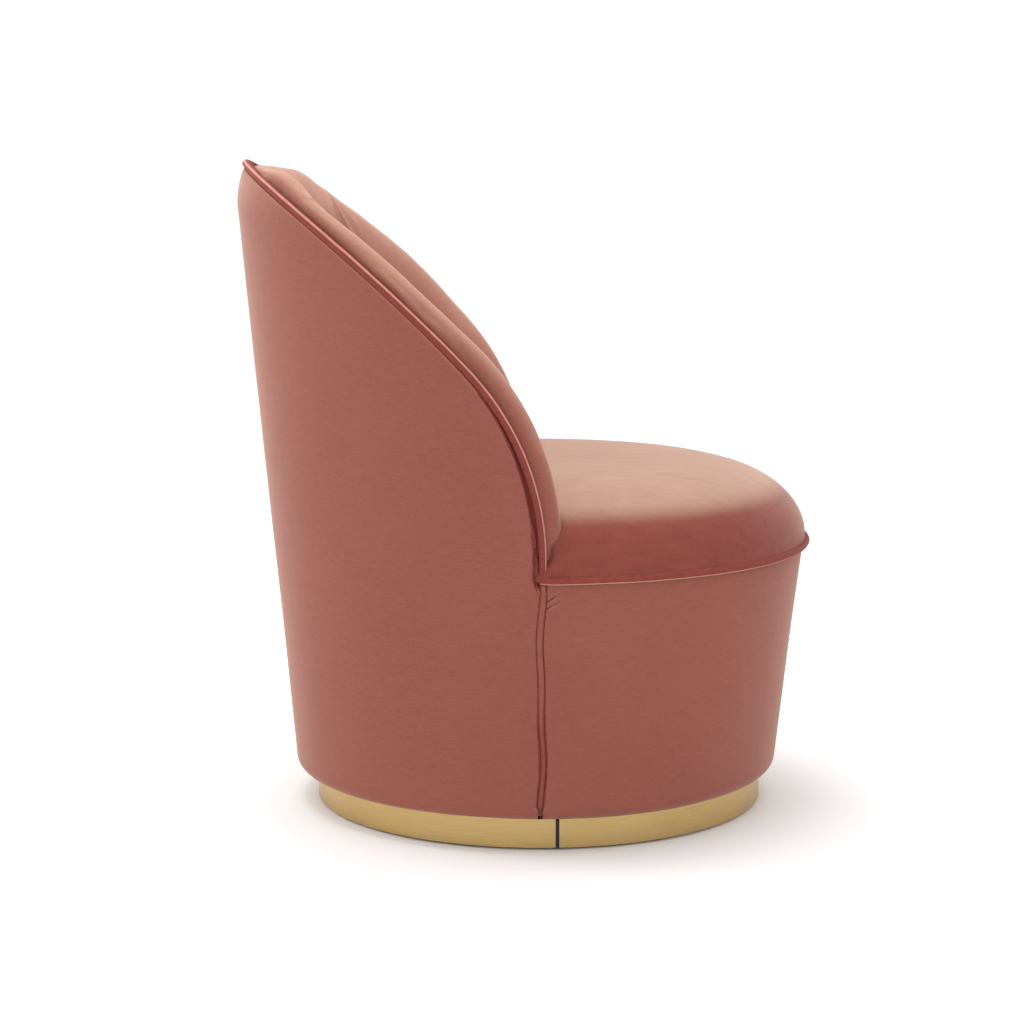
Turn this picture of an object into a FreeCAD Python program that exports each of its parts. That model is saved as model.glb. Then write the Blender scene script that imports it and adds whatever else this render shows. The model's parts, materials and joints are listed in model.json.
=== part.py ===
"""Armless nursery glider chair: a velvet tub seat on a swivelling, gliding plinth base.

Frame: +Z up, the sitter faces -Y, origin on the floor on the swivel axis.  Millimetres.

The upholstered body is a slightly oblique cone, widest at the top.  Its back edge is the cut of
that cone by one side profile: a vertical line, a large arc and a gentle arc up to the top rail.
Under the seat hangs a four-bar glider: two pairs of links swing from posts on a ball-bearing
turntable, which turns on the round plinth.
"""
import FreeCAD, Part
import os
from math import asin, cos, pi, radians, sin, sqrt

V = FreeCAD.Vector
X_AXIS = V(1, 0, 0)
Y_AXIS = V(0, 1, 0)
Z_AXIS = V(0, 0, 1)
FAR = 700.0                        # larger than the chair, for cutting blocks

# ---- upholstered body: an oblique cone ------------------------------------------------------
BODY_R0 = 301.0                    # radius of the cloth surface, continued down to the floor
BODY_FLARE = 0.1055                # growth of that radius per mm of height
AXIS_Y0 = 4.6                      # the cone's axis meets the floor here
AXIS_LEAN = -0.0113                # and leans forward by this much per mm of height
BODY_BOTTOM = 41.0
BOTTOM_ROUND = 16.0
CLOTH = 5.0                        # velvet over fibre wadding
PANEL = 7.0                        # bent plywood wall of the body
INNER = CLOTH + PANEL              # inset of the frame behind the wall
RAIL = 19.0                        # thickness of the back frame's timber
WEBBING = 2.0
PAD_BACK = INNER + RAIL + WEBBING  # inset of the back face of the foam
PAD_FACE = 72.0                    # inset of the inside back's face

# ---- side profile of the back edge ----------------------------------------------------------
SEAM_Y = 17.0                      # the back edge starts here as a vertical line
EDGE_Z = 353.5                     # the line turns into the first arc
EDGE_R1 = 323.0
EDGE_TURN = radians(44.25)
EDGE_R2 = 1865.0
EDGE_TURN2 = 0.205                 # second arc, far enough to leave the body at the back
EDGE_START_ANGLE = pi / 2 - 0.06   # the curved part of the edge starts here, from the middle of the back
COVER_DROP = 8.0                   # the outside cover stops this far under the edge, at the welt
FRAME_DROP = 12.0                  # timber stops this far under the edge
FRAME_TOP_Z = 757.0                # and at this level at the top, under the soft rail
ROLL_RISE = 23.0                   # the padded roll stands this far over the edge
ROLL_RISE_TOP = 12.0               # and this far at the top of the back
ROLL_INSET = 9.5                   # the roll starts just inside the welt
ROLL_OUTER_ROUND = 10.0
ROLL_INNER_ROUND = 24.0
PANEL_SEAM = radians(38.0)         # the inside back's two seams, from the middle of the back

# ---- seat -----------------------------------------------------------------------------------
SEAM_Z = 334.0                     # level of the seat welt
SEAT_R = 340.0                     # crown's radius at the welt
CROWN_RISE = 105.8
CROWN_SPAN = 320.0                 # distance from the rim to the flat middle
CROWN_N = 4.0
CROWN_M = 2.17
SEAT_RING_Z = 291.0
SEAT_RING_T = 24.0
LOWER_RING_T = 18.0
RING_IN = 236.0
SEAT_RING_IN = 262.0
WELT_R = 4.5
SEAT_WELT_R = 340.0
SEAM_WIDTH = 10.0
SEAM_PROUD = 1.2
SEAM_CHANNEL = 16.0                # shallow channel in the wall behind each side seam
SEAM_CHANNEL_DEPTH = 4.0

# ---- plinth ---------------------------------------------------------------------------------
PLINTH_R = 284.0
BAND_T = 1.0
GLIDE_T = 3.0
GLIDE_R = 12.0
GLIDE_CIRCLE = 262.0
BOARD_T = 18.0
RIM_T = 16.0
RIM_W = 26.0
BAND_TOP = 38.0
BAND_GAP = 4.5
BAND_JOINT_Y = -4.5                # the gold band's two halves meet here
JOINER_W = 24.0
JOINER_T = 2.5

# ---- swivel ---------------------------------------------------------------------------------
PLATE_R = 110.0
PLATE_T = 2.5
BALL_R = 2.95
BALL_SPACE = 6.0                   # clear height between the two plates
BALL_CIRCLE = 90.0
BALLS = 24
KING_R = 9.95
KING_HOLE = 10.0
KING_HEAD_R = 18.0

# ---- glider linkage -------------------------------------------------------------------------
LINK = 100.0                       # pivot to pivot
LINK_ANGLE = radians(25.0)         # swing each way
PIVOT_Y = 70.0                     # front pair at -70, rear pair at +70
PIVOT_TOP_Z = 150.0
PIVOT_LOW_Z = PIVOT_TOP_Z - LINK
POST_X = 118.0                     # inner face of the hanger posts
STEEL = 4.0
UPPER_WASHER = 3.0
LOWER_WASHER = 2.0
LINK_X = POST_X + STEEL + UPPER_WASHER
RAIL_X = LINK_X + STEEL + LOWER_WASHER
LINK_HALF_W = 12.0
PIN_R = 5.0
PIN_PLAY = 0.05
OPEN_PIVOT_PLAY = 0.3              # the rear lower bushes fit loosely, so the linkage never binds
SIDE_PLAY = 0.2                    # end float of the links on their pins
BUSH_T = 2.0
HEAD_R = 8.0
HEAD_T = 2.5
WEB_X = 140.0                      # upright web of the cradle's side rails
RAIL_TOP_Z = 178.0
TUBE_Y = 150.0
TUBE = 20.0
MOUNT_RAIL_T = 25.0
MOUNT_RAIL_W = 60.0
MOUNT_RAIL_Y = 100.0

NODES = {}


def add(name, *shapes):
    """File one or more solids under a node's name."""
    solids = [solid for shape in shapes for solid in shape.Solids]
    if len(solids) == 1:
        NODES[name] = solids[0]
    else:
        NODES[name] = Part.makeCompound(solids)


# ---- general helpers ------------------------------------------------------------------------
def box(x0, x1, y0, y1, z0, z1):
    return Part.makeBox(x1 - x0, y1 - y0, z1 - z0, V(x0, y0, z0))


def slab(z0, z1):
    return box(-FAR, FAR, -FAR, FAR, z0, z1)


def disc(radius, z0, z1, x=0.0, y=0.0):
    return Part.makeCylinder(radius, z1 - z0, V(x, y, z0))


def ring(r_in, r_out, z0, z1):
    return disc(r_out, z0, z1).cut(disc(r_in, z0 - 1, z1 + 1))


def pin_x(radius, x0, x1, y, z):
    return Part.makeCylinder(radius, x1 - x0, V(x0, y, z), X_AXIS)


def mirrored(shape):
    """The same piece on the other side of the chair."""
    return shape.mirror(V(0, 0, 0), X_AXIS)


def around(shape, count, start=0.0):
    """Copies of a shape spaced evenly about the swivel axis."""
    copies = []
    for index in range(count):
        turned = shape.copy()
        turned.rotate(V(0, 0, 0), Z_AXIS, start + 360.0 * index / count)
        copies.append(turned)
    return copies


# ---- the body's surfaces --------------------------------------------------------------------
def body_radius(z):
    return BODY_R0 + BODY_FLARE * z


def axis_y(z):
    return AXIS_Y0 + AXIS_LEAN * z


def cone(inset, z0, z1):
    """The body's cone, shrunk by inset, between two levels."""
    low = z0 - 20.0
    high = z1 + 20.0
    lean = sqrt(1.0 + AXIS_LEAN ** 2)
    solid = Part.makeCone(body_radius(low) - inset, body_radius(high) - inset,
                          (high - low) * lean, V(0, axis_y(low), low), V(0, AXIS_LEAN, 1))
    return solid.common(slab(z0, z1))


def rounded_cone(inset, top):
    """The cone with its lower corner rounded, as the cloth rolls under the frame."""
    solid = cone(inset, BODY_BOTTOM + inset, top)
    circles = [edge for edge in solid.Edges if len(edge.Vertexes) == 1]
    rim = min(circles, key=lambda circle: circle.CenterOfMass.z)
    return solid.makeFillet(BOTTOM_ROUND - inset, [rim])


def shell(outer, inner, z0, z1):
    return cone(outer, z0, z1).cut(cone(inner, z0 - 1, z1 + 1))


def edge_point(turn, rise):
    """A point of the side profile, as (y, z), where its direction has turned by this angle."""
    y1 = SEAM_Y + EDGE_R1
    if turn <= EDGE_TURN:
        radius = EDGE_R1 + rise
        return V(0, y1 - radius * cos(turn), EDGE_Z + radius * sin(turn))
    back = EDGE_R2 - EDGE_R1
    y2 = y1 + back * cos(EDGE_TURN)
    z2 = EDGE_Z - back * sin(EDGE_TURN)
    radius = EDGE_R2 + rise
    return V(0, y2 - radius * cos(turn), z2 + radius * sin(turn))


def behind(outline):
    """Everything behind and below a side profile, as one block across the chair."""
    first = outline[0].valueAt(outline[0].FirstParameter)
    last = outline[-1].valueAt(outline[-1].LastParameter)
    corners = [last, V(0, FAR, last.z), V(0, FAR, 0), V(0, first.y, 0), first]
    sides = [Part.makeLine(a, b) for a, b in zip(corners[:-1], corners[1:]) if (a - b).Length > 1e-6]
    face = Part.Face(Part.Wire(outline + sides))
    face.translate(V(-FAR, 0, 0))
    return face.extrude(V(2 * FAR, 0, 0))


def behind_edge(rise):
    """The block behind the back edge, offset up and forward by rise."""
    start = V(0, SEAM_Y - rise, 100.0)
    turns = [0.0, EDGE_TURN / 2, EDGE_TURN, EDGE_TURN + EDGE_TURN2 / 2, EDGE_TURN + EDGE_TURN2]
    points = [edge_point(turn, rise) for turn in turns]
    line = Part.makeLine(start, points[0])
    arcs = [Part.Arc(*points[0:3]).toShape(), Part.Arc(*points[2:5]).toShape()]
    return behind([line] + arcs)


def frame_block():
    """The space that the back's timber may fill."""
    return behind_edge(-FRAME_DROP).common(slab(0, FRAME_TOP_Z))


def roll_outline():
    """Side profile of the padded roll: none at the seat welt, full up the wing, less at the top."""
    full = EDGE_TURN + EDGE_TURN2
    points = [V(0, SEAM_Y, SEAM_Z), V(0, SEAM_Y - 0.75 * ROLL_RISE, SEAM_Z + 42.0)]
    for step in range(1, 9):
        turn = full * step / 8.0
        fade = max(0.0, (turn - EDGE_TURN) / EDGE_TURN2)
        points.append(edge_point(turn, ROLL_RISE + (ROLL_RISE_TOP - ROLL_RISE) * fade))
    curve = Part.BSplineCurve()
    curve.interpolate(points)
    return curve.toShape()


def wedge(angle0, angle1):
    """A sector of the body; angles from the middle of the back, positive towards +X."""
    reach = 2 * FAR
    points = [V(0, 0, 0)]
    for step in range(5):
        angle = angle0 + (angle1 - angle0) * step / 4.0
        points.append(V(reach * sin(angle), reach * cos(angle), 0))
    face = Part.Face(Part.makePolygon(points + points[:1]))
    return face.extrude(V(0, 0, 2 * FAR))


# ---- base -----------------------------------------------------------------------------------
BOARD_Z = GLIDE_T
RIM_Z = BOARD_Z + BOARD_T
LOWER_PLATE_Z = RIM_Z
UPPER_PLATE_Z = LOWER_PLATE_Z + PLATE_T + BALL_SPACE
FRAME_Z = UPPER_PLATE_Z + PLATE_T


def make_plinth():
    outer = around(disc(GLIDE_R, 0, GLIDE_T, GLIDE_CIRCLE, 0), 6, 30)
    add("floor_glides", disc(GLIDE_R, 0, GLIDE_T), *outer)
    y0 = BAND_JOINT_Y - JOINER_W / 2
    side = box(PLINTH_R - BAND_T - JOINER_T, FAR, y0, y0 + JOINER_W, BOARD_Z, BAND_TOP - 1)
    recess = side.fuse(mirrored(side))
    wood_r = PLINTH_R - BAND_T
    add("base_board", disc(wood_r, BOARD_Z, RIM_Z).cut(recess))
    add("plinth_rim", ring(wood_r - RIM_W, wood_r, RIM_Z, RIM_Z + RIM_T).cut(recess))
    joiner = disc(wood_r, BOARD_Z, BAND_TOP - 1).common(side)
    add("band_joiner_right", joiner)
    add("band_joiner_left", mirrored(joiner))
    band = ring(wood_r, PLINTH_R, BOARD_Z, BAND_TOP)
    add("plinth_band_rear", band.common(box(-FAR, FAR, BAND_JOINT_Y + BAND_GAP / 2, FAR, 0, 100)))
    add("plinth_band_front", band.common(box(-FAR, FAR, -FAR, BAND_JOINT_Y - BAND_GAP / 2, 0, 100)))


def make_swivel():
    lower = ring(KING_R, PLATE_R, LOWER_PLATE_Z, LOWER_PLATE_Z + PLATE_T)
    add("swivel_lower_plate", lower)
    add("plate_screws", *around(disc(5.0, LOWER_PLATE_Z + PLATE_T, LOWER_PLATE_Z + PLATE_T + 2, 60, 0), 6))
    head_z = FRAME_Z + 0.15
    add("king_pin", disc(KING_R, LOWER_PLATE_Z, head_z).fuse(disc(KING_HEAD_R, head_z, head_z + 3)))
    ball_z = LOWER_PLATE_Z + PLATE_T + BALL_SPACE / 2
    add("swivel_balls", *around(Part.makeSphere(BALL_R, V(BALL_CIRCLE, 0, ball_z)), BALLS))
    cage = ring(BALL_CIRCLE - 8, BALL_CIRCLE + 8, ball_z - 1, ball_z + 1)
    pockets = around(disc(BALL_R + 0.1, ball_z - 5, ball_z + 5, BALL_CIRCLE, 0), BALLS)
    add("ball_cage", cage.cut(Part.makeCompound(pockets)))
    add("swivel_upper_plate", ring(KING_HOLE, PLATE_R, UPPER_PLATE_Z, FRAME_Z))


# ---- glider mechanism -----------------------------------------------------------------------
POST_TOP = PIVOT_TOP_Z + 15.0
BAR_T = 6.0
BAR_W = 30.0
STOP_Y = PIVOT_Y + BAR_W / 2


def make_turntable():
    post_out = POST_X + STEEL
    frame = []
    for sign in (-1, 1):
        y = sign * PIVOT_Y
        frame.append(box(-post_out, post_out, y - BAR_W / 2, y + BAR_W / 2, FRAME_Z, FRAME_Z + BAR_T))
        tab = box(-20, 20, STOP_Y - STEEL, STOP_Y, FRAME_Z, 70)
        frame.append(tab if sign > 0 else tab.mirror(V(0, 0, 0), Y_AXIS))
        for side in (-1, 1):
            post = box(POST_X, post_out, y - BAR_W / 2, y + BAR_W / 2, FRAME_Z, POST_TOP)
            post = post.cut(pin_x(PIN_R, POST_X - 1, post_out + 1, y, PIVOT_TOP_Z))
            frame.append(post if side > 0 else mirrored(post))
    for side in (-1, 1):
        x = side * (POST_X - 12)
        frame.append(box(x - 12, x + 12, -PIVOT_Y, PIVOT_Y, FRAME_Z, FRAME_Z + BAR_T))
    welded = frame[0].multiFuse(frame[1:]).removeSplitter()
    add("glide_base_frame", welded)
    rivets = [disc(6, FRAME_Z + BAR_T, FRAME_Z + BAR_T + 3, x, y)
              for x in (-60, 60) for y in (-PIVOT_Y, PIVOT_Y)]
    add("frame_rivets", *rivets)
    travel = LINK * sin(LINK_ANGLE)
    reach = TUBE_Y - TUBE / 2 - travel - 0.5
    bumper = Part.makeCylinder(9.0, reach - STOP_Y, V(0, STOP_Y, 57), Y_AXIS)
    add("stop_bumpers", bumper, bumper.mirror(V(0, 0, 0), Y_AXIS))


def make_link(y, low_play):
    """One link with its two bushes, on the +X side."""
    x1 = LINK_X + STEEL
    bush_r = PIN_R + BUSH_T
    plate = box(LINK_X, x1, y - LINK_HALF_W, y + LINK_HALF_W, PIVOT_LOW_Z, PIVOT_TOP_Z)
    for z in (PIVOT_TOP_Z, PIVOT_LOW_Z):
        plate = plate.fuse(pin_x(LINK_HALF_W, LINK_X, x1, y, z))
    bushes = []
    for z, play in ((PIVOT_TOP_Z, PIN_PLAY), (PIVOT_LOW_Z, low_play)):
        plate = plate.cut(pin_x(bush_r, LINK_X - 1, x1 + 1, y, z))
        bush = pin_x(bush_r, LINK_X, x1, y, z)
        bushes.append(bush.cut(pin_x(PIN_R + play, LINK_X - 1, x1 + 1, y, z)))
    return plate.removeSplitter(), bushes


def make_links():
    for name, y, low_play in (("front", -PIVOT_Y, PIN_PLAY), ("rear", PIVOT_Y, OPEN_PIVOT_PLAY)):
        plate, bushes = make_link(y, low_play)
        add(name + "_glide_links", plate, mirrored(plate))
        add(name + "_link_bushes", *bushes, *[mirrored(bush) for bush in bushes])
    post_out = POST_X + STEEL
    link_out = LINK_X + STEEL
    upper = []
    upper_washers = []
    lower = []
    lower_washers = []
    for y in (-PIVOT_Y, PIVOT_Y):
        rivet = pin_x(PIN_R, POST_X - HEAD_T, link_out, y, PIVOT_TOP_Z)
        rivet = rivet.fuse(pin_x(HEAD_R, POST_X - HEAD_T, POST_X, y, PIVOT_TOP_Z))
        rivet = rivet.fuse(pin_x(HEAD_R, link_out + SIDE_PLAY, link_out + SIDE_PLAY + HEAD_T, y, PIVOT_TOP_Z))
        rivet = rivet.fuse(pin_x(PIN_R, link_out, link_out + SIDE_PLAY, y, PIVOT_TOP_Z))
        upper.append(rivet.removeSplitter())
        washer = pin_x(HEAD_R + 1, post_out, LINK_X - SIDE_PLAY, y, PIVOT_TOP_Z)
        upper_washers.append(washer.cut(pin_x(PIN_R, post_out - 1, LINK_X + 1, y, PIVOT_TOP_Z)))
        rivet = pin_x(PIN_R, LINK_X - SIDE_PLAY, RAIL_X + STEEL, y, PIVOT_LOW_Z)
        rivet = rivet.fuse(pin_x(HEAD_R, LINK_X - HEAD_T, LINK_X - SIDE_PLAY, y, PIVOT_LOW_Z))
        rivet = rivet.fuse(pin_x(HEAD_R, RAIL_X + STEEL, RAIL_X + STEEL + HEAD_T, y, PIVOT_LOW_Z))
        lower.append(rivet.removeSplitter())
        washer = pin_x(HEAD_R + 1, link_out + SIDE_PLAY, RAIL_X, y, PIVOT_LOW_Z)
        lower_washers.append(washer.cut(pin_x(PIN_R, link_out - 1, RAIL_X + 1, y, PIVOT_LOW_Z)))
    for name, pieces in (("upper_pivot_rivets", upper), ("upper_pivot_washers", upper_washers),
                         ("lower_pivot_rivets", lower), ("lower_pivot_washers", lower_washers)):
        add(name, *pieces, *[mirrored(piece) for piece in pieces])


def make_cradle():
    """Steel cradle that hangs on the links and carries the seat's timber frame."""
    half = TUBE_Y + TUBE / 2
    low0 = PIVOT_LOW_Z - 10.0
    low1 = PIVOT_LOW_Z + 12.0
    bar = box(RAIL_X, RAIL_X + STEEL, -half, half, low0, low1)
    step = box(RAIL_X, WEB_X + STEEL, -half, half, low1, low1 + STEEL)
    web = box(WEB_X, WEB_X + STEEL, -half, half, low1, RAIL_TOP_Z)
    flange = box(WEB_X, WEB_X + 30, -half, half, RAIL_TOP_Z - STEEL, RAIL_TOP_Z)
    rail = bar.fuse(step).fuse(web).fuse(flange)
    for y in (-PIVOT_Y, PIVOT_Y):
        rail = rail.cut(pin_x(PIN_R, RAIL_X - 1, RAIL_X + STEEL + 1, y, PIVOT_LOW_Z))
    window = box(WEB_X - 1, WEB_X + STEEL + 1, -half + 40, half - 40, 90, 150)
    rail = rail.cut(window).removeSplitter()
    add("side_rail_right", rail)
    add("side_rail_left", mirrored(rail))
    tube = box(-RAIL_X, RAIL_X, TUBE_Y - TUBE / 2, TUBE_Y + TUBE / 2, low0 + 2, low0 + 2 + TUBE)
    hollow = box(-FAR, FAR, TUBE_Y - TUBE / 2 + 1.5, TUBE_Y + TUBE / 2 - 1.5, low0 + 3.5, low0 + 0.5 + TUBE)
    tube = tube.cut(hollow)
    add("cradle_cross_tubes", tube, tube.mirror(V(0, 0, 0), Y_AXIS))
    bolts = [disc(7, RAIL_TOP_Z - STEEL - 4, RAIL_TOP_Z - STEEL, x, y)
             for x in (-WEB_X - 18, WEB_X + 18) for y in (-MOUNT_RAIL_Y, MOUNT_RAIL_Y)]
    add("cradle_bolts", *bolts)


# ---- timber frame ---------------------------------------------------------------------------
POST_ANGLES = (21.7, 158.3, 201.7, 338.3, 90.0, 270.0, 240.0, 300.0, 60.0, 120.0)
POST_R = 268.0
UPRIGHT_ANGLES = (-68.0, -34.0, 0.0, 34.0, 68.0)
UPRIGHT_W = 44.0
TOP_RAIL_H = 45.0
STRAP_LEVELS = (360, 440, 520, 600, 680)
STRAP_W = 50


def make_frame():
    cloth_inside = rounded_cone(CLOTH, 900)
    lower_z = BODY_BOTTOM + CLOTH
    lower = cone(INNER, lower_z, lower_z + LOWER_RING_T).common(cloth_inside)
    add("lower_frame_ring", lower.cut(disc(RING_IN, 0, 400)))
    seat_ring_top = SEAT_RING_Z + SEAT_RING_T
    seat_ring = cone(INNER, SEAT_RING_Z, seat_ring_top).cut(disc(SEAT_RING_IN, 0, 400))
    posts = []
    for angle in POST_ANGLES:
        post = box(POST_R - 15, POST_R + 15, -20, 20, lower_z + LOWER_RING_T, SEAT_RING_Z)
        post.rotate(V(0, 0, 0), Z_AXIS, angle)
        posts.append(post)
    add("frame_posts", *posts)
    add("seat_frame_ring", seat_ring)
    rails = []
    for y in (-MOUNT_RAIL_Y, MOUNT_RAIL_Y):
        end = sqrt((POST_R + 15) ** 2 - MOUNT_RAIL_Y ** 2)
        rail = box(-end, end, y - MOUNT_RAIL_W / 2, y + MOUNT_RAIL_W / 2, RAIL_TOP_Z,
                   RAIL_TOP_Z + MOUNT_RAIL_T)
        rails.append(rail.cut(Part.makeCompound(posts)))
    rails = [max(rail.Solids, key=lambda solid: solid.Volume) for rail in rails]
    add("mounting_rails", *rails)
    frame_top = frame_block()
    channel = shell(CLOTH - 1, CLOTH + SEAM_CHANNEL_DEPTH, 0, SEAM_Z)
    half = SEAM_CHANNEL / 2
    channel = channel.common(box(-FAR, FAR, SEAM_Y - half, SEAM_Y + half, 0, FAR))
    wall = cloth_inside.cut(cone(INNER, 0, 950)).cut(channel)
    add("back_shell", wall.common(frame_top))
    add("front_border_panel", wall.common(slab(0, seat_ring_top)).cut(frame_top))
    layer = shell(INNER, INNER + RAIL, seat_ring_top, 900)
    under_band = behind_edge(-FRAME_DROP - TOP_RAIL_H).common(slab(0, FRAME_TOP_Z - TOP_RAIL_H))
    top_band = layer.common(frame_top).cut(under_band)
    top_band = top_band.common(slab(400, 900))
    add("back_top_rail", top_band)
    uprights = []
    half = asin(UPRIGHT_W / 2 / 330.0)
    for angle in UPRIGHT_ANGLES:
        rib = layer.common(wedge(radians(angle) - half, radians(angle) + half)).common(frame_top)
        uprights.append(rib.cut(top_band))
    add("back_uprights", *uprights)
    band = shell(INNER + RAIL, PAD_BACK, 300, 900).common(frame_top)
    add("back_webbing", *[band.common(slab(z, z + STRAP_W)) for z in STRAP_LEVELS])


# ---- seat suspension and padding ------------------------------------------------------------
WIRE_R = 1.9
SPRING_LOOP = 14.0                 # half the pitch of the zigzag
SPRING_HALF = 20.0
SPRINGS_X = (-165, -110, -55, 0, 55, 110, 165)
CLIP_W = 5.0
CLIP_T = 1.2
FELT_Z = SEAT_RING_Z + SEAT_RING_T + 2 * WIRE_R + CLIP_T
FELT_T = 6.0                       # felt pad over the springs


def make_spring(x):
    """One zigzag seat spring from clip to clip, front to back: straight runs and half circles."""
    z = SEAT_RING_Z + SEAT_RING_T + WIRE_R
    reach = sqrt((SEAT_RING_IN + 26) ** 2 - x * x)
    turns = 2 * int(reach / (2 * SPRING_LOOP)) + 1
    pitch = 2 * reach / turns
    r = pitch / 2
    edges = []
    side = 1
    y = -reach + pitch / 2
    edges.append(Part.makeLine(V(x, y, z), V(x + SPRING_HALF - r, y, z)))
    for index in range(turns - 1):
        tip = x + side * (SPRING_HALF - r)
        edges.append(Part.Arc(V(tip, y, z), V(tip + side * r, y + r, z), V(tip, y + pitch, z)).toShape())
        y += pitch
        end = x if index == turns - 2 else x - side * (SPRING_HALF - r)
        edges.append(Part.makeLine(V(tip, y, z), V(end, y, z)))
        side = -side
    path = Part.Wire(edges)
    start = edges[0].valueAt(edges[0].FirstParameter)
    circle = Part.Wire([Part.makeCircle(WIRE_R, start, X_AXIS)])
    return path.makePipeShell([circle], True, False), reach - pitch / 2


def crown_height(depth):
    """Rise of the seat's crown over the welt, this far in from its rim."""
    share = min(depth, CROWN_SPAN) / CROWN_SPAN
    return CROWN_RISE * (1.0 - (1.0 - share) ** CROWN_N) ** (1.0 / CROWN_M)


def crown(inset, z0):
    """Solid under the crowned seat, its surface lowered and drawn in by inset."""
    depths = [0.0, 1.0, 4.0, 12.0, 30.0, 60.0, 100.0, 150.0, 220.0, CROWN_SPAN]
    points = [V(SEAT_R - inset - d, 0, SEAM_Z - inset + crown_height(d)) for d in depths]
    curve = Part.BSplineCurve()
    curve.interpolate(points)
    top = points[-1].z
    corners = [V(points[-1].x, 0, top), V(0, 0, top), V(0, 0, z0), V(SEAT_R - inset, 0, z0), points[0]]
    sides = [Part.makeLine(a, b) for a, b in zip(corners[:-1], corners[1:]) if (a - b).Length > 1e-6]
    face = Part.Face(Part.Wire([curve.toShape()] + sides))
    return face.revolve(V(0, 0, 0), Z_AXIS, 360)


def crest_edges(shape, inset):
    """The long edges of the padded roll that lie on the cone with this inset."""
    found = []
    for edge in shape.Edges:
        middle = edge.valueAt((edge.FirstParameter + edge.LastParameter) / 2)
        depth = body_radius(middle.z) - sqrt(middle.x ** 2 + (middle.y - axis_y(middle.z)) ** 2)
        if edge.Length > 600 and abs(depth - inset) < 0.5:
            found.append(edge)
    return found


def seat_welt_ring():
    return Part.makeTorus(SEAT_WELT_R, WELT_R, V(0, axis_y(SEAM_Z), SEAM_Z))


def make_suspension():
    springs = []
    clips = []
    for x in SPRINGS_X:
        spring, y = make_spring(x)
        springs.append(spring)
        z = SEAT_RING_Z + SEAT_RING_T
        hoop = box(x, x + CLIP_W, -4, 4, z, z + 2 * WIRE_R + CLIP_T)
        hoop = hoop.cut(box(x - 1, x + CLIP_W + 1, -2.2, 2.2, z - 1, z + 2 * WIRE_R))
        for side in (-1, 1):
            clip = hoop.copy()
            clip.translate(V(0, side * y, 0))
            clips.append(clip)
    add("seat_springs", *springs)
    add("spring_clips", *clips)
    add("spring_pad", cone(PAD_BACK, FELT_Z, FELT_Z + FELT_T))


def make_padding():
    """Seat foam, its cover and the rough padded back; returns the back, still in one piece."""
    core = behind([roll_outline()])
    roll = core.common(cone(ROLL_INSET, 300, 900)).cut(cone(PAD_BACK, 280, 920))
    roll = roll.cut(frame_block()).common(slab(SEAM_Z, 900))
    pad = core.common(shell(PAD_BACK, PAD_FACE, SEAM_Z, 900))
    whole = pad.fuse(roll).removeSplitter()
    whole = whole.makeFillet(ROLL_OUTER_ROUND, crest_edges(whole, ROLL_INSET))
    whole = whole.makeFillet(ROLL_INNER_ROUND, crest_edges(whole, PAD_FACE))
    foam_z = FELT_Z + FELT_T
    foam = crown(CLOTH, foam_z).common(cone(CLOTH + 2, 300, 500)).cut(whole)
    welts = shell(-20, PAD_BACK, 300, 500).common(behind_edge(WELT_R + 0.5)).fuse(seat_welt_ring())
    add("seat_foam", max(foam.cut(welts).Solids, key=lambda solid: solid.Volume))
    skin = crown(0.0, SEAM_Z).cut(crown(CLOTH, foam_z - 5)).cut(whole)
    cover = skin.cut(welts).cut(behind_edge(0))
    rear = skin.common(cone(PAD_FACE, 300, 500))
    add("seat_cover", cover.fuse(rear).removeSplitter())
    return whole


def make_back_padding(whole):
    side = wedge(PANEL_SEAM, pi)
    other = mirrored(side)
    add("inside_back_pad_right", whole.common(side))
    add("inside_back_pad_left", whole.common(other))
    add("inside_back_pad_centre", whole.cut(side).cut(other))


# ---- covers and trim ------------------------------------------------------------------------
def tube_along(points, radius):
    curve = Part.BSplineCurve()
    curve.interpolate(points)
    path = Part.Wire([curve.toShape()])
    tangent = curve.tangent(curve.FirstParameter)[0]
    circle = Part.Wire([Part.makeCircle(radius, points[0], tangent)])
    return path.makePipeShell([circle], True, True)


def edge_path(inset):
    """The back edge's line on the cone, from one seam over the top to the other."""
    low = V(0, SEAM_Y, SEAM_Z + 6)
    count = 36
    path = [V(sqrt((body_radius(low.z) - inset) ** 2 - (low.y - axis_y(low.z)) ** 2), low.y, low.z)]
    for step in range(count + 1):
        angle = EDGE_START_ANGLE * (1.0 - step / count)
        low_turn = 0.0
        high_turn = EDGE_TURN + EDGE_TURN2
        for halving in range(40):
            turn = (low_turn + high_turn) / 2
            point = edge_point(turn, 0.0)
            if point.y - axis_y(point.z) < (body_radius(point.z) - inset) * cos(angle):
                low_turn = turn
            else:
                high_turn = turn
        radius = body_radius(point.z) - inset
        path.append(V(radius * sin(angle), point.y, point.z))
    return path + [V(-p.x, p.y, p.z) for p in reversed(path[:-1])]


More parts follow.
